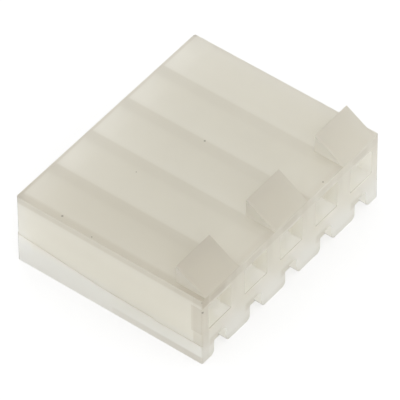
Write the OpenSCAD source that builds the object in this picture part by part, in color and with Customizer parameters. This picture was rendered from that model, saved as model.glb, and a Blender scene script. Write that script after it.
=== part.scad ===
// Crimp-terminal housing for a wire to board connector, moulded in one piece.
// The row runs along X, the mating face looks towards -Y and the wires enter at +Y.
// The underside lies on Z = 0, and the locking ramps stand on the opposite face.

/* [Row] */
// Number of circuits, one terminal cavity each
circuits = 5; // [3:2:9]
// Distance from one circuit to the next
pitch = 3.96; // [3.9:0.01:4.2]

/* [Body] */
// Depth from the mating face to the wire end
body_d = 16; // [15:0.5:20]
// Height from the underside to the face that carries the ramps
body_h = 6.2; // [6:0.1:7]
// Radius of the upright corners
corner_r = 0.15; // [0.05:0.05:0.4]
// Thickness of the partition between two cavities
partition_w = 1; // [0.8:0.05:1.2]
// Thickness of the wall under the ramps
top_wall = 0.85; // [0.7:0.05:1]
// Thickness of the wall across the mating end
front_wall = 0.95; // [0.8:0.05:1.2]

/* [Parting step] */
// How far the lower half stands out past the upper half
step_out = 0.03; // [0.02:0.01:0.08]
// Height of the step beside the mating end
step_mate_z = 1.72; // [1.6:0.01:1.8]
// Height of the step at the wire end
step_wire_z = 2.6; // [2.3:0.05:2.8]
// Small rise where two mould inserts meet
step_rise = 0.1; // [0.05:0.01:0.15]

/* [Locking ramps] */
// Width of each ramp along the row
ramp_w = 3.65; // [3:0.05:3.9]
// Depth of each ramp from the mating face to its catch
ramp_d = 2.5; // [2:0.05:3]
// Height of the catch above the body
ramp_h = 1.55; // [1:0.05:1.8]
// Distance from the ends of the body to the outer ramps
ramp_inset = 0.4; // [0.2:0.05:0.6]

/* [Mating openings] */
// Width of the opening for a header pin
opening_w = 2.5; // [2.2:0.05:2.7]
// Height of the opening, measured down from the cavity's ceiling
opening_h = 2.45; // [2.2:0.05:2.6]
// Radius in the corners of the opening
opening_r = 0.15; // [0.1:0.05:0.3]

/* [Terminal cavities] */
// Height of the floor under the contact box
contact_floor = 2.6; // [2.4:0.05:2.8]
// Height of the floor under the crimp barrels
crimp_floor = 2; // [1.9:0.05:2.2]
// Length of the lead-in on the ceiling at the wire end
lead_top_len = 1.4; // [0.8:0.1:2]
// Rise of the ceiling over that length
lead_top_rise = 0.4; // [0.2:0.05:0.5]
// Length of the lead-in on the floor, which falls at 45 degrees
lead_floor_len = 1; // [0.5:0.1:1.4]
// Length of the lead-in on the side walls
lead_side_len = 0.5; // [0.3:0.1:1]
// Depth of the side lead-in
lead_side_in = 0.2; // [0.1:0.05:0.3]

/* [Latch tunnels] */
// Width of the tunnel and of the notch at its mouth
tunnel_w = 1.34; // [1.1:0.02:1.5]
// Height of the tunnel's roof
tunnel_top = 1.6; // [1.5:0.05:1.9]
// Thickness of the skin below the tunnel
tunnel_skin = 0.35; // [0.3:0.05:0.5]
// Distance from the mating face to the shoulder that holds the latch
shoulder_y = 8; // [7:0.1:8.5]
// Distance from the mating face to the start of the latch window
window_y = 3; // [2.5:0.1:4]
// Depth of the notch in the front edge of the skin
notch_d = 0.72; // [0.5:0.02:0.9]
// Radius on the lower corners of the teeth beside the notches
tooth_r = 0.42; // [0.2:0.02:0.5]

/* [Hidden] */

$fn = 48;
nylon = [0.86, 0.85, 0.79];
over = 1;                                     // how far a cut runs past the surface it opens
body_w = circuits * pitch;
cavity_w = pitch - partition_w;
ceiling_z = body_h - top_wall;
opening_z = ceiling_z - opening_h;
tunnel_r = 0.35;                              // radius of the arched roof of the tunnel
bend_y = 0.53 * body_d;                       // where the parting step starts to climb
insert_y = 0.26 * body_d;                     // where the two mould inserts meet
bend_z = step_mate_z + 2 * step_rise;
ramps = (circuits + 1) / 2;                   // one ramp on every second circuit
ramp_pitch = (body_w - 2 * ramp_inset - ramp_w) / (ramps - 1);

// Centre of circuit i along the row
function circuit_x(i) = (i - (circuits - 1) / 2) * pitch;

// Extrudes an outline drawn as [depth, height] along the row
module along_row(width, at = 0)
    translate([at - width / 2, 0, 0])
        rotate([90, 0, 90])
            linear_extrude(height = width) children();

// Extrudes an outline drawn as [row, height] from y_from to y_to
module along_depth(y_from, y_to)
    translate([0, y_to, 0])
        rotate([90, 0, 0])
            linear_extrude(height = y_to - y_from) children();

// Rectangle with round corners, its lower left corner at the origin
module round_rect(size, r) {
    translate([r, 0]) square([size[0] - 2 * r, size[1]]);
    translate([0, r]) square([size[0], size[1] - 2 * r]);
    for (x = [r, size[0] - r], y = [r, size[1] - r])
        translate([x, y]) circle(r);
}

// Upright block on the footprint of the body, drawn in by inset at the ends and the wire end
module block(inset, height)
    translate([inset - body_w / 2, 0, 0])
        linear_extrude(height = height)
            round_rect([body_w - 2 * inset, body_d - inset], corner_r);

// The lower half stands out a little, up to a parting line that climbs to the wire end
module shell() {
    block(step_out, body_h);
    intersection() {
        block(0, body_h);
        along_row(body_w + 2 * over)
            polygon([
                [0, 0], [body_d, 0], [body_d, step_wire_z], [bend_y, bend_z],
                [insert_y, step_mate_z + step_rise], [insert_y, step_mate_z], [0, step_mate_z]
            ]);
    }
}

// Wedge that rises from the mating face to an upright catch
module locking_ramp(at)
    along_row(ramp_w, at)
        polygon([[0, body_h - over], [ramp_d, body_h - over], [ramp_d, body_h + ramp_h], [0, body_h]]);

// Room for one terminal: contact box in front, crimp barrels behind, flared where it goes in
module terminal_cavity() {
    mouth_y = body_d + over;
    step_y = shoulder_y + crimp_floor - contact_floor;
    intersection() {
        along_row(pitch)
            polygon([
                [front_wall, contact_floor], [front_wall, ceiling_z],
                [body_d - lead_top_len, ceiling_z], [body_d, ceiling_z + lead_top_rise],
                [mouth_y, ceiling_z + lead_top_rise], [mouth_y, crimp_floor - lead_floor_len],
                [body_d, crimp_floor - lead_floor_len], [body_d - lead_floor_len, crimp_floor],
                [shoulder_y, crimp_floor], [step_y, contact_floor]
            ]);
        linear_extrude(height = body_h)
            for (side = [0, 1]) mirror([side, 0])
                polygon([
                    [0, 0], [cavity_w / 2, 0], [cavity_w / 2, body_d - lead_side_len],
                    [cavity_w / 2 + lead_side_in, body_d], [cavity_w / 2 + lead_side_in, mouth_y],
                    [0, mouth_y]
                ]);
    }
}

// Opening in the mating face that lets the header pin in
module mating_opening()
    along_depth(-over, front_wall + over)
        translate([-opening_w / 2, opening_z])
            round_rect([opening_w, opening_h], opening_r);

// Tunnel under the contact box, with the window above it that the terminal's latch drops through
module latch_tunnel() {
    along_depth(-over, shoulder_y)
        translate([-tunnel_w / 2, tunnel_skin]) {
            square([tunnel_w, tunnel_top - tunnel_skin - tunnel_r]);
            round_rect([tunnel_w, tunnel_top - tunnel_skin], tunnel_r);
        }
    translate([-tunnel_w / 2, window_y, tunnel_skin])
        cube([tunnel_w, shoulder_y - window_y, contact_floor + over - tunnel_skin]);
}

// Notch that opens the tunnel's mouth downwards and rounds the teeth beside it
module front_notch()
    along_depth(-over, notch_d) {
        translate([-tunnel_w / 2, -over]) square([tunnel_w, over + tunnel_top - tunnel_r]);
        for (side = [0, 1]) mirror([side, 0])
            translate([tunnel_w / 2, 0])
                difference() {
                    translate([-tooth_r, -over]) square([2 * tooth_r, over + tooth_r]);
                    translate([tooth_r, tooth_r]) circle(tooth_r);
                }
    }

module housing() {
    color(nylon)
        translate([0, -body_d / 2, 0]) {
            difference() {
                shell();
                for (i = [0:circuits - 1])
                    translate([circuit_x(i), 0, 0]) {
                        terminal_cavity();
                        mating_opening();
                        latch_tunnel();
                        front_notch();
                    }
            }
            for (k = [0:ramps - 1])
                locking_ramp((k - (ramps - 1) / 2) * ramp_pitch);
        }
}

housing();
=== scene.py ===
from math import cos, radians, sin

import bmesh
import bpy
from mathutils import Matrix, Vector


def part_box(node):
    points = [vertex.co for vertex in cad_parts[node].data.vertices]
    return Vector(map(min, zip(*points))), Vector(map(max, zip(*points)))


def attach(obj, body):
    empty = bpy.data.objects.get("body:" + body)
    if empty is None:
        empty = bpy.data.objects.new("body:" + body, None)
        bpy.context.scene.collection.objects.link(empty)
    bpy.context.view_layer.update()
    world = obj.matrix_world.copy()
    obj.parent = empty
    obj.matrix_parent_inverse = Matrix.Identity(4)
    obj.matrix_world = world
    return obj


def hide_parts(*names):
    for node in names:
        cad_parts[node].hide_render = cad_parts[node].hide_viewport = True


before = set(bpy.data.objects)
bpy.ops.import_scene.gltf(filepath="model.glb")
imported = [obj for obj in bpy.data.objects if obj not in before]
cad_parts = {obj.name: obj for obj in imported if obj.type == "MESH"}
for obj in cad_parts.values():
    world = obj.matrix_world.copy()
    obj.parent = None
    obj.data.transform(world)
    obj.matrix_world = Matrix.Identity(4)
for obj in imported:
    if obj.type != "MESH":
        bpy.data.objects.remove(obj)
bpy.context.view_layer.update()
mm = 0.001

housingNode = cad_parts["housing"]
boxLow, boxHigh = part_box("housing")
print("frame loaded:", [round(v / mm, 2) for v in boxHigh - boxLow], "mm")


# Nodes for materials

def newMaterial(name):
    material = bpy.data.materials.new(name)
    material.use_nodes = True
    material.node_tree.nodes.clear()
    return material, material.node_tree


def addNode(tree, kind, **settings):
    node = tree.nodes.new(kind)
    for key, value in settings.items():
        setattr(node, key, value)
    return node


def put(tree, value, socket):
    if isinstance(value, Field):
        tree.links.new(value.socket, socket)
    elif isinstance(value, bpy.types.NodeSocket):
        tree.links.new(value, socket)
    else:
        socket.default_value = value


# A number that changes over the surface, so that a mask reads as a sum
class Field:
    def __init__(self, tree, socket):
        self.tree, self.socket = tree, socket

    def join(self, operation, a, b=0.0, clamp=False):
        node = addNode(self.tree, "ShaderNodeMath", operation=operation, use_clamp=clamp)
        put(self.tree, a, node.inputs[0])
        put(self.tree, b, node.inputs[1])
        return Field(self.tree, node.outputs[0])

    def __add__(self, other):
        return self.join("ADD", self, other)

    def __sub__(self, other):
        return self.join("SUBTRACT", self, other)

    def __rsub__(self, other):
        return self.join("SUBTRACT", other, self)

    def __mul__(self, other):
        return self.join("MULTIPLY", self, other)

    def __truediv__(self, other):
        return self.join("DIVIDE", self, other)

    def larger(self, other):
        return self.join("MAXIMUM", self, other)

    def size(self):
        return self.join("ABSOLUTE", self)

    def part(self):
        return self.join("FRACT", self)

    def clamped(self):
        return self.join("ADD", self, 0.0, clamp=True)

    # 0 below the place and 1 above it, over that width
    def above(self, place, width):
        return self.ramp(place - width / 2, place + width / 2, "SMOOTHSTEP")

    def below(self, place, width):
        return 1 - self.above(place, width)

    def between(self, low, high, width):
        return self.above(low, width) * self.below(high, width)

    def ramp(self, low, high, kind="LINEAR"):
        node = addNode(self.tree, "ShaderNodeMapRange", interpolation_type=kind)
        for value, socket in zip((self, low, high, 0.0, 1.0), node.inputs):
            put(self.tree, value, socket)
        return Field(self.tree, node.outputs[0])

    # Follows grey levels given at places from 0 to 1
    def follow(self, levels):
        node = addNode(self.tree, "ShaderNodeValToRGB")
        stops = node.color_ramp.elements
        while len(stops) < len(levels):
            stops.new(0.5)
        for stop, (place, level) in zip(stops, levels):
            stop.position, stop.color = place, (level, level, level, 1)
        put(self.tree, self, node.inputs[0])
        return Field(self.tree, node.outputs[0])


def splitVector(tree, socket):
    node = addNode(tree, "ShaderNodeSeparateXYZ")
    tree.links.new(socket, node.inputs[0])
    return [Field(tree, out) for out in node.outputs]


# Floor, lamps and camera

studio = {
    "floorSize": 1.2,
    "floorColour": (0.93, 0.93, 0.93, 1),
    "floorRoughness": 0.8,
    "floorLift": 0.6,
    "worldStrength": 1.49,
    "keyPower": 0.54,
    "keyPlace": (-0.36, -0.36, 0.24),
    "keySize": 0.3,
}

cameraView = {
    "aim": Vector((-0.35, -0.409, 3.274)) * mm,
    "azimuth": -51.896,
    "elevation": 46.365,
    "roll": -0.387,
    "distance": 379.05 * mm,
    "lens": 498.015,
    "sensor": 36,
    "clip": (0.01, 10),
}


def addCamera():
    azimuth, elevation = radians(cameraView["azimuth"]), radians(cameraView["elevation"])
    back = Vector((sin(azimuth) * cos(elevation), -cos(azimuth) * cos(elevation), sin(elevation)))
    roll = Matrix.Rotation(radians(cameraView["roll"]), 3, "Z")
    turn = (-back).to_track_quat("-Z", "Y").to_matrix() @ roll
    data = bpy.data.cameras.new("camera")
    data.lens, data.sensor_width = cameraView["lens"], cameraView["sensor"]
    data.clip_start, data.clip_end = cameraView["clip"]
    camera = bpy.data.objects.new("camera", data)
    place = cameraView["aim"] + back * cameraView["distance"]
    camera.matrix_world = Matrix.Translation(place) @ turn.to_4x4()
    bpy.context.collection.objects.link(camera)
    bpy.context.scene.camera = camera


# 1 for the rays by which a viewer sees the background, straight on or by gloss or through the nylon
def whiteView(tree):
    path = addNode(tree, "ShaderNodeLightPath")
    kinds = "Is Camera Ray", "Is Glossy Ray", "Is Transmission Ray"
    seen, mirrored, through = (Field(tree, path.outputs[kind]) for kind in kinds)
    return seen.larger(mirrored).larger(through)


def addFloor():
    half = studio["floorSize"] / 2
    mesh = bpy.data.meshes.new("floor")
    corners = [(-half, -half, 0), (half, -half, 0), (half, half, 0), (-half, half, 0)]
    mesh.from_pydata(corners, [], [(0, 1, 2, 3)])
    floor = bpy.data.objects.new("floor", mesh)
    bpy.context.collection.objects.link(floor)
    material, tree = newMaterial("white table")
    surface = addNode(tree, "ShaderNodeBsdfPrincipled")
    surface.inputs["Base Color"].default_value = studio["floorColour"]
    surface.inputs["Roughness"].default_value = studio["floorRoughness"]
    glow = addNode(tree, "ShaderNodeEmission")
    lit = addNode(tree, "ShaderNodeMixShader")
    put(tree, whiteView(tree) * studio["floorLift"], lit.inputs[0])
    tree.links.new(surface.outputs[0], lit.inputs[1])
    tree.links.new(glow.outputs[0], lit.inputs[2])
    output = addNode(tree, "ShaderNodeOutputMaterial")
    tree.links.new(lit.outputs[0], output.inputs["Surface"])
    mesh.materials.append(material)


def addWorld():
    world = bpy.data.worlds.new("studio")
    bpy.context.scene.world = world
    world.use_nodes = True
    tree = world.node_tree
    tree.nodes.clear()
    light = addNode(tree, "ShaderNodeBackground")
    light.inputs["Strength"].default_value = studio["worldStrength"]
    seen = addNode(tree, "ShaderNodeBackground")
    mix = addNode(tree, "ShaderNodeMixShader")
    put(tree, whiteView(tree), mix.inputs[0])
    tree.links.new(light.outputs[0], mix.inputs[1])
    tree.links.new(seen.outputs[0], mix.inputs[2])
    output = addNode(tree, "ShaderNodeOutputWorld")
    tree.links.new(mix.outputs[0], output.inputs["Surface"])


def addLamp(name, place, aim, size, power):
    data = bpy.data.lights.new(name, "AREA")
    data.shape, data.size, data.energy = "SQUARE", size, power
    lamp = bpy.data.objects.new(name, data)
    lamp.location = place
    lamp.rotation_euler = (Vector(aim) - Vector(place)).to_track_quat("-Z", "Y").to_euler()
    bpy.context.collection.objects.link(lamp)


addCamera()
addFloor()
addWorld()
addLamp("key", studio["keyPlace"], (0, 0, 0), studio["keySize"], studio["keyPower"])
bpy.context.scene.view_settings.view_transform = "Standard"
print("studio ready")


# The housing's finished surface

# The bevel's overlap clamp leaves far less than this radius on the edges
housing = {
    "edgeRadius": 0.05 * mm,
    "edgeSegments": 3,
    "openingEdge": 0.3,
    "sharpAngle": radians(30),
    "mergeDistance": 0.0005 * mm,
    "flatAngle": radians(0.3),
}

# Sizes of the moulding in millimetres, as the part's source has them, and two shares of its depth
sizes = {
    "pitch": 3.96,
    "length": 19.8,
    "depth": 16,
    "height": 6.2,
    "topWall": 0.85,
    "frontWall": 0.95,
    "openingWidth": 2.5,
    "openingHeight": 2.45,
    "shoulder": 8,
    "partingFront": 1.72,
    "partingRise": 0.1,
    "partingClimb": 0.68,
    "insertShare": 0.26,
    "bendShare": 0.53,
}

halfLength, front, wireEnd = sizes["length"] / 2, -sizes["depth"] / 2, sizes["depth"] / 2
ceiling = sizes["height"] - sizes["topWall"]
halfOpening = sizes["openingWidth"] / 2
# places along the depth where two mould inserts meet and where the parting line bends upwards
insertPlace = front + sizes["insertShare"] * sizes["depth"]
bendPlace = front + sizes["bendShare"] * sizes["depth"]

# Natural nylon looks clear where a hollow lies behind a thin wall, and dense where it is solid. The
# tint paints this see-through light and shade as colour, together with painted shade and painted
# light that follow the studio light; the rim and edge amounts are painted shade.
nylon = {
    "clearTint": (0.975, 0.962, 0.908, 1),
    "denseAndShadedTint": (0.70, 0.662, 0.585, 1),
    "coolTint": (0.975, 0.98, 0.96, 1),
    "rimShadeTint": (0.16, 0.16, 0.15, 1),
    "speckTint": (0.12, 0.10, 0.07, 1),
    "clearness": 0.49,
    "through": 0.5,
    "roughness": 0.3,
    "ior": 1.53,
    "seenShift": 0.3,
    "densityAndShade": 0.2,
    "innerPaintedLight": -0.08,
    "ramps": 0.74,
    "rampSlope": 0.18,
    "rampSides": 0.3,
    "edges": 0.3,
    "rimShade": 0.8,
    "rimFacing": (0.45, 0.9),
    "rimRoundness": (0.02, 0.12),
    "mottling": 0.06,
    "mottleScale": 0.7,
    "mottleDetail": 4,
    "grain": 0.04,
    "grainScale": 6,
    "grainHeight": 0.05 * mm,
    "speckStrength": 0.6,
}

# Dust moulded in under the surface: place in millimetres and radius
specks = [
    ((-9.40, 4.33, 6.2), 0.08),
    ((-9.71, 1.54, 6.2), 0.05),
    ((-3.11, 2.93, 6.2), 0.04),
    ((2.07, 1.04, 6.2), 0.07),
    ((3.89, -7.72, 6.2), 0.06),
    ((-9.80, -8.00, 5.05), 0.09),
    ((-9.87, -7.97, 6.02), 0.06),
]


# In the tables below a place is one border or two in millimetres, then the softness of the change
# there. Only rise and skinFade have no softness and run from one border to the other. A tone is
# how much denser the nylon reads at the place of that name: solid nylon behind it and painted shade
# where it is positive, painted light where it is negative; for cool names it is how much cooler.

# One pitch from a partition to the next: share of the way, and how solid the inside is there
partitionProfile = [
    (0, 1), (0.1, 1), (0.14, 0.12), (0.2, 0.02), (0.55, 0.3),
    (0.78, 0.5), (0.85, 0.65), (0.92, 0.95), (1, 1),
]

topPlaces = {
    "partitions": (7, 1.4),
    "endWall": (-halfLength + 0.62, 0.4),
    "mouthFlare": (wireEnd - 1.7, wireEnd - 0.3, 0.8),
    "mouthRim": (wireEnd - 0.26, 0.14),
    "frontWall": (front + 1.4, 3),
    "frontEdge": (front + 0.5, 0.5),
    "frontReach": (8.3, 1.5),
    "middle": (-1.5, 4.5, 2),
    "left": (-6, 2),
}
topTones = {
    "solid": 0.3, "mouthFlare": -0.06, "mouthRim": 0.25, "frontWall": 0.3, "frontEdge": 0.1,
    "farOut": 0.25, "slope": -0.12, "middle": 0.05, "left": 0.05,
}

endPlaces = {
    "step": (insertPlace, 0.05),
    "crispLine": (insertPlace, 0.3),
    "upperHalf": (0, 0.05),
    "lowerHalf": (-0.1, 0.5),
    "shadeAboveLine": (0.15, 0.5),
    "line": (-0.03, 0.05, 0.06),
    "topWall": (ceiling + 0.28, 0.25),
    "underTopWall": (ceiling + 0.1, 1.2),
    "post": (front + 0.78, 0.12),
    "postFoot": (2.9, 1.2),
    "tunnel": (front + sizes["shoulder"] - 0.25, 0.4),
    "tunnelSkin": (0.62, 0.22),
    "skinFade": (front, -0.3),
    "glowAlong": (wireEnd - 1.3, wireEnd - 0.15, 0.5),
    "glowUp": (1.4, 3, 1),
    "middle": (2, 4, 1.5),
    "coolFoot": (2, 1),
    "coolWireEnd": (wireEnd - 0.8, 0.8),
}
endTones = {
    "lowerHalf": -0.2, "shadeAboveLine": 0.12, "line": 0.2, "topWall": 0.38, "underTopWall": 0.16,
    "post": 0.12, "postFoot": 0.28, "tunnelSkin": 0.6, "skinFade": -0.4, "glow": -0.15,
    "middle": -0.06, "coolFoot": 0.8, "coolWireEnd": 0.4,
}

facePlaces = {
    "topWall": (ceiling + 0.08, 0.2),
    "firstCircuit": (-7.2, 1.5),
    "browAcross": (-1, 0.65, 0.5),
    "browUp": (ceiling + 0.02, ceiling + 0.65, 0.15),
    "post": (-9.15, 0.25),
    "postHead": (1.4, 0.8),
    "besideAcross": (halfOpening - 0.05, halfOpening + 0.55, 0.35),
    "besideUp": (3.9, 1.6),
    "capAcross": (-1.15, 0.15, 0.35),
    "capUp": (1.15, 1.85, 0.4),
    "rise": (1.2, 5.2),
    "teeth": (0.5, 0.4),
    "coolFoot": (1.9, 1.6),
}
faceTones = {
    "topWall": 0.2, "topWallSlope": -0.1, "firstCircuit": 0.2, "brow": 0.2, "post": 0.15,
    "postHead": 0.15, "beside": 0.12, "cap": 0.4, "rise": 0.26, "teeth": 0.1, "slope": -0.07,
    "whole": -0.08, "coolFoot": 0.6,
}

innerPlaces = {
    "jambAlong": (front + 0.05, front + sizes["frontWall"], 0.05),
    "jambUp": (2.85, ceiling, 0.05),
    "leftJambs": (-6, 1),
    "lastWall": (9, 0.2),
    "tunnelSkinAlong": (front + 0.6, front + 0.8, 0.1),
    "tunnelSkinUp": (0.4, 0.1),
}
innerTones = {"jambShade": 0.2, "leftJambs": 0.15, "lastWall": -0.08, "tunnelSkin": 0.6}

undersideCool = 0.5
# a normal's part along an axis, where a face counts as looking that way
forward, facesAway = (0, 0.02), (-0.6, 0.3)


# 1 on the outside of the block and 0 in its cavities, tunnels and notches
def nylonMask(x, y, z):
    skin, softness = 0.06, 0.01
    return (
        x.size().above(halfLength - skin, softness)
        .larger(y.size().above(wireEnd - skin, softness))
        .larger(z.above(sizes["height"] - skin, softness))
        .larger(z.below(skin, softness))
    )


# Top: painted see-through shade over the partitions, end wall and solid wall across the mating end,
# painted light with a painted shade rim at the flared mouths, and painted shade that changes along
# the row
def topShade(x, y):
    place, tone = topPlaces, topTones
    # painted see-through shade over the solid partitions and end wall under the top, moved by
    # seenShift
    along = ((x + nylon["seenShift"] + sizes["pitch"] / 2) / sizes["pitch"]).part()
    partitions = along.follow(partitionProfile) * x.below(*place["partitions"])
    solid = partitions.larger(x.below(*place["endWall"]))
    # painted light in a band before the wire end, with a painted shade rim at its edge
    mouths = (
        y.above(*place["mouthRim"]) * tone["mouthRim"]
        + y.between(*place["mouthFlare"]) * tone["mouthFlare"]
    )
    # painted shade across the front of the top, over the solid front wall
    frontWall = x.below(*place["frontReach"]) * (
        y.below(*place["frontWall"]) * tone["frontWall"]
        + y.below(*place["frontEdge"]) * tone["frontEdge"]
    )
    out = x / halfLength
    # painted shade that changes along the row: darker towards both ends, most at the left, and in a
    # band near the middle
    paintedLightDrift = (
        out * out * tone["farOut"] + out * tone["slope"]
        + x.between(*place["middle"]) * tone["middle"] + x.below(*place["left"]) * tone["left"]
    )
    return solid * tone["solid"] + frontWall + (1 - solid) * mouths + paintedLightDrift


# Ends: the top's wall, the front wall, painted shade along the parting line with painted light and
# the tunnel below it, and painted light near the wire end
def endShade(y, z):
    place, tone = endPlaces, endTones
    parting = (
        y.above(*place["step"]) * sizes["partingRise"]
        + y.ramp(insertPlace, bendPlace) * sizes["partingRise"]
        + y.ramp(bendPlace, wireEnd) * sizes["partingClimb"] + sizes["partingFront"]
    )
    over = z - parting
    upperHalf = over.above(*place["upperHalf"])
    topWall = (
        z.above(*place["topWall"]) * tone["topWall"]
        + z.above(*place["underTopWall"]) * tone["underTopWall"]
    )
    post = y.below(*place["post"]) * upperHalf * (
        z.below(*place["postFoot"]) * tone["postFoot"] + tone["post"]
    )
    # painted shade just above the parting line, and a dark painted line along it behind the
    # insert's step
    line = (
        over.below(*place["shadeAboveLine"]) * upperHalf * tone["shadeAboveLine"]
        + over.between(*place["line"]) * y.above(*place["crispLine"]) * tone["line"]
    )
    tunnelSkin = z.below(*place["tunnelSkin"]) * y.below(*place["tunnel"]) * (
        y.ramp(*place["skinFade"]) * tone["skinFade"] + tone["tunnelSkin"]
    )
    # painted light: a brighter patch near the wire end, at mid height
    glow = y.between(*place["glowAlong"]) * z.between(*place["glowUp"])
    # painted light lifts the half below the parting line; the ends are also a little lighter
    # between 2 and 4 mm up
    return (
        topWall + post + line + tunnelSkin + over.below(*place["lowerHalf"]) * tone["lowerHalf"]
        + glow * tone["glow"] + z.between(*place["middle"]) * tone["middle"]
    )


# Ends look cooler below the parting line and at the wire end
def endCool(y, z):
    place, tone = endPlaces, endTones
    return (
        z.below(*place["coolFoot"]) * tone["coolFoot"]
        + y.above(*place["coolWireEnd"]) * tone["coolWireEnd"]
    )


# Mating face: the top's wall, the corner post, painted shade above and beside the openings and over
# the notches, and painted shade darker towards the left end
def faceShade(x, z):
    place, tone = facePlaces, faceTones
    fromCentre = (((x + sizes["pitch"] / 2) / sizes["pitch"]).part() - 0.5) * sizes["pitch"]
    out = x / halfLength
    topWall = z.above(*place["topWall"]) * (
        x.below(*place["firstCircuit"]) * tone["firstCircuit"]
        + out * tone["topWallSlope"] + tone["topWall"]
    )
    # painted shade on the face just above each opening
    brow = fromCentre.between(*place["browAcross"]) * z.between(*place["browUp"]) * tone["brow"]
    post = x.below(*place["post"]) * (
        z.above(*place["postHead"]) * tone["postHead"] + tone["post"]
    )
    beside = (
        fromCentre.between(*place["besideAcross"]) * z.above(*place["besideUp"]) * tone["beside"]
    )
    cap = fromCentre.between(*place["capAcross"]) * z.between(*place["capUp"]) * tone["cap"]
    rise = z.ramp(*place["rise"]) * tone["rise"] + z.below(*place["teeth"]) * tone["teeth"]
    # painted shade changes along the row: darker towards the left end
    return topWall + brow + post + beside + cap + rise + out * tone["slope"] + tone["whole"]


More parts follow.
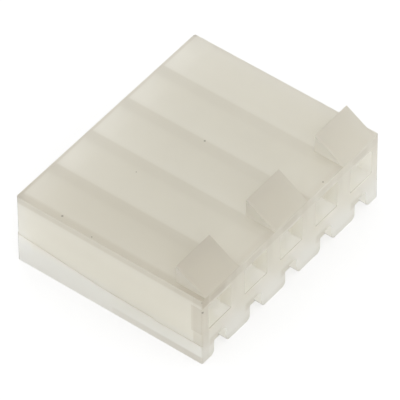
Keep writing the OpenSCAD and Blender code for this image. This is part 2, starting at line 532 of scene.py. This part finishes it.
def nylonMaterial():
    material, tree = newMaterial("natural nylon")
    texture = addNode(tree, "ShaderNodeTexCoord")
    inMillimetres = addNode(tree, "ShaderNodeVectorMath", operation="SCALE")
    tree.links.new(texture.outputs["Object"], inMillimetres.inputs[0])
    inMillimetres.inputs["Scale"].default_value = 1 / mm
    x, y, z = splitVector(tree, inMillimetres.outputs[0])
    nx, ny, nz = splitVector(tree, texture.outputs["Normal"])

    # shares of the outer faces, which blend into one another where an edge is round
    onRamps = z.above(sizes["height"] + 0.01, 0.02)
    outside = nylonMask(x, y, z)
    body = outside * (1 - onRamps)
    top = nz * nz * nz.above(*forward) * body
    underside = nz * nz * nz.below(*forward) * body
    ends = nx * nx * body
    face = ny * ny * ny.below(*forward) * body

    place, tone = innerPlaces, innerTones
    inner = (1 - outside) * (1 - onRamps)
    wall = nx.below(*facesAway)
    # painted shade on the walls of the openings that face towards -x
    jambShade = wall * y.between(*place["jambAlong"]) * z.between(*place["jambUp"])
    jambShade = jambShade * x.below(*place["lastWall"]) * (
        x.below(*place["leftJambs"]) * tone["leftJambs"] + tone["jambShade"]
    )
    # painted light on the inner face of the last end wall
    lastWall = wall * x.above(*place["lastWall"]) * inner
    tunnelSkin = (
        ny.below(*facesAway) * y.between(*place["tunnelSkinAlong"])
        * z.below(*place["tunnelSkinUp"]) * inner
    )

    # round edges get painted shade, a little darker than the flats beside them
    square = (nx * nx).larger(ny * ny).larger(nz * nz)
    edges = (1 - square) * (1 - onRamps)

    mottle = addNode(tree, "ShaderNodeTexNoise")
    tree.links.new(inMillimetres.outputs[0], mottle.inputs["Vector"])
    mottle.inputs["Scale"].default_value = nylon["mottleScale"]
    mottle.inputs["Detail"].default_value = nylon["mottleDetail"]
    mottled = (Field(tree, mottle.outputs[0]) - 0.5) * nylon["mottling"]

    # ramps: the solid ramps read dense, with painted shade darker towards the left end and painted
    # light on their sides
    rampTone = x / halfLength * -nylon["rampSlope"] - nx * nx * nylon["rampSides"] + nylon["ramps"]
    # painted shade and painted light, added to the darker look of solid nylon behind the surface
    densityAndShade = (
        top * topShade(x, y) + ends * endShade(y, z) + face * faceShade(x, z)
        + onRamps * (rampTone - nylon["densityAndShade"]) + outside.larger(onRamps) * nylon["densityAndShade"]
        # painted light lifts the faces inside the cavities, tunnels and notches
        + inner * nylon["innerPaintedLight"] + jambShade + lastWall * tone["lastWall"]
        + tunnelSkin * tone["tunnelSkin"] + edges * nylon["edges"] + mottled
    )
    coolness = (
        ends * endCool(y, z) + underside * undersideCool
        + face * z.below(*facePlaces["coolFoot"]) * faceTones["coolFoot"]
    ).clamped()

    clear = addNode(tree, "ShaderNodeMix", data_type="RGBA")
    put(tree, coolness, clear.inputs[0])
    put(tree, nylon["clearTint"], clear.inputs[6])
    put(tree, nylon["coolTint"], clear.inputs[7])
    tint = addNode(tree, "ShaderNodeMix", data_type="RGBA", clamp_factor=False)
    put(tree, densityAndShade, tint.inputs[0])
    put(tree, clear.outputs[2], tint.inputs[6])
    put(tree, nylon["denseAndShadedTint"], tint.inputs[7])
    colour = tint.outputs[2]

    # painted shade: a dark rim where a round edge turns out of sight, from the angle to the view
    facing = addNode(tree, "ShaderNodeLayerWeight")
    facing.inputs["Blend"].default_value = 0.5
    away = Field(tree, facing.outputs["Facing"]).ramp(*nylon["rimFacing"])
    turned = away * (1 - square).ramp(*nylon["rimRoundness"])
    rimShade = addNode(tree, "ShaderNodeMix", data_type="RGBA")
    put(tree, turned * nylon["rimShade"], rimShade.inputs[0])
    put(tree, colour, rimShade.inputs[6])
    put(tree, nylon["rimShadeTint"], rimShade.inputs[7])
    colour = rimShade.outputs[2]

    dust = None
    for centre, radius in specks:
        distance = addNode(tree, "ShaderNodeVectorMath", operation="DISTANCE")
        tree.links.new(inMillimetres.outputs[0], distance.inputs[0])
        distance.inputs[1].default_value = centre
        spot = Field(tree, distance.outputs["Value"]).below(radius, radius)
        dust = spot if dust is None else dust.larger(spot)
    dusty = addNode(tree, "ShaderNodeMix", data_type="RGBA")
    put(tree, dust * nylon["speckStrength"], dusty.inputs[0])
    put(tree, colour, dusty.inputs[6])
    put(tree, nylon["speckTint"], dusty.inputs[7])
    colour = dusty.outputs[2]

    grain = addNode(tree, "ShaderNodeTexNoise")
    tree.links.new(inMillimetres.outputs[0], grain.inputs["Vector"])
    grain.inputs["Scale"].default_value = nylon["grainScale"]
    relief = addNode(tree, "ShaderNodeBump")
    relief.inputs["Strength"].default_value = nylon["grain"]
    relief.inputs["Distance"].default_value = nylon["grainHeight"]
    tree.links.new(grain.outputs[0], relief.inputs["Height"])

    surface = addNode(tree, "ShaderNodeBsdfPrincipled")
    tree.links.new(colour, surface.inputs["Base Color"])
    tree.links.new(relief.outputs[0], surface.inputs["Normal"])
    surface.inputs["Roughness"].default_value = nylon["roughness"]
    surface.inputs["IOR"].default_value = nylon["ior"]
    surface.inputs["Transmission Weight"].default_value = nylon["clearness"]
    glow = addNode(tree, "ShaderNodeBsdfTranslucent")
    tree.links.new(colour, glow.inputs["Color"])
    blend = addNode(tree, "ShaderNodeMixShader")
    blend.inputs[0].default_value = nylon["through"]
    tree.links.new(surface.outputs[0], blend.inputs[1])
    tree.links.new(glow.outputs[0], blend.inputs[2])
    output = addNode(tree, "ShaderNodeOutputMaterial")
    tree.links.new(blend.outputs[0], output.inputs["Surface"])
    return material


# Share of the full radius that an edge gets, less around the openings for the header's pins
def edgeWeight(edge):
    if len(edge.link_faces) != 2 or edge.calc_face_angle() < housing["sharpAngle"]:
        return 0
    slack, endWalls = 0.05, 0.6
    low, high = ceiling - sizes["openingHeight"] - slack, ceiling + slack
    back, side = front + sizes["frontWall"] + 0.01, halfLength - endWalls
    places = [vert.co / mm for vert in edge.verts]
    inOpening = all(p.y < back and low < p.z < high and abs(p.x) < side for p in places)
    return housing["openingEdge"] if inOpening else 1


def makeHousing():
    mesh = housingNode.data.copy()
    mesh.name = "moulding"
    work = bmesh.new()
    work.from_mesh(mesh)
    bmesh.ops.remove_doubles(work, verts=work.verts, dist=housing["mergeDistance"])
    bmesh.ops.dissolve_limit(
        work, angle_limit=housing["flatAngle"], verts=work.verts, edges=work.edges
    )
    weights = work.edges.layers.float.new("bevel_weight_edge")
    for edge in work.edges:
        edge[weights] = edgeWeight(edge)
    work.to_mesh(mesh)
    work.free()
    mesh.materials.clear()
    mesh.materials.append(nylonMaterial())
    piece = bpy.data.objects.new("moulding", mesh)
    bpy.context.collection.objects.link(piece)
    bevel = piece.modifiers.new("edges", "BEVEL")
    bevel.width, bevel.segments = housing["edgeRadius"], housing["edgeSegments"]
    bevel.limit_method = "WEIGHT"
    bevel.harden_normals = True
    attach(piece, "root")
    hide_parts("housing")
    return piece


moulding = makeHousing()
print("housing:", len(moulding.data.polygons), "faces before its edges are rounded")
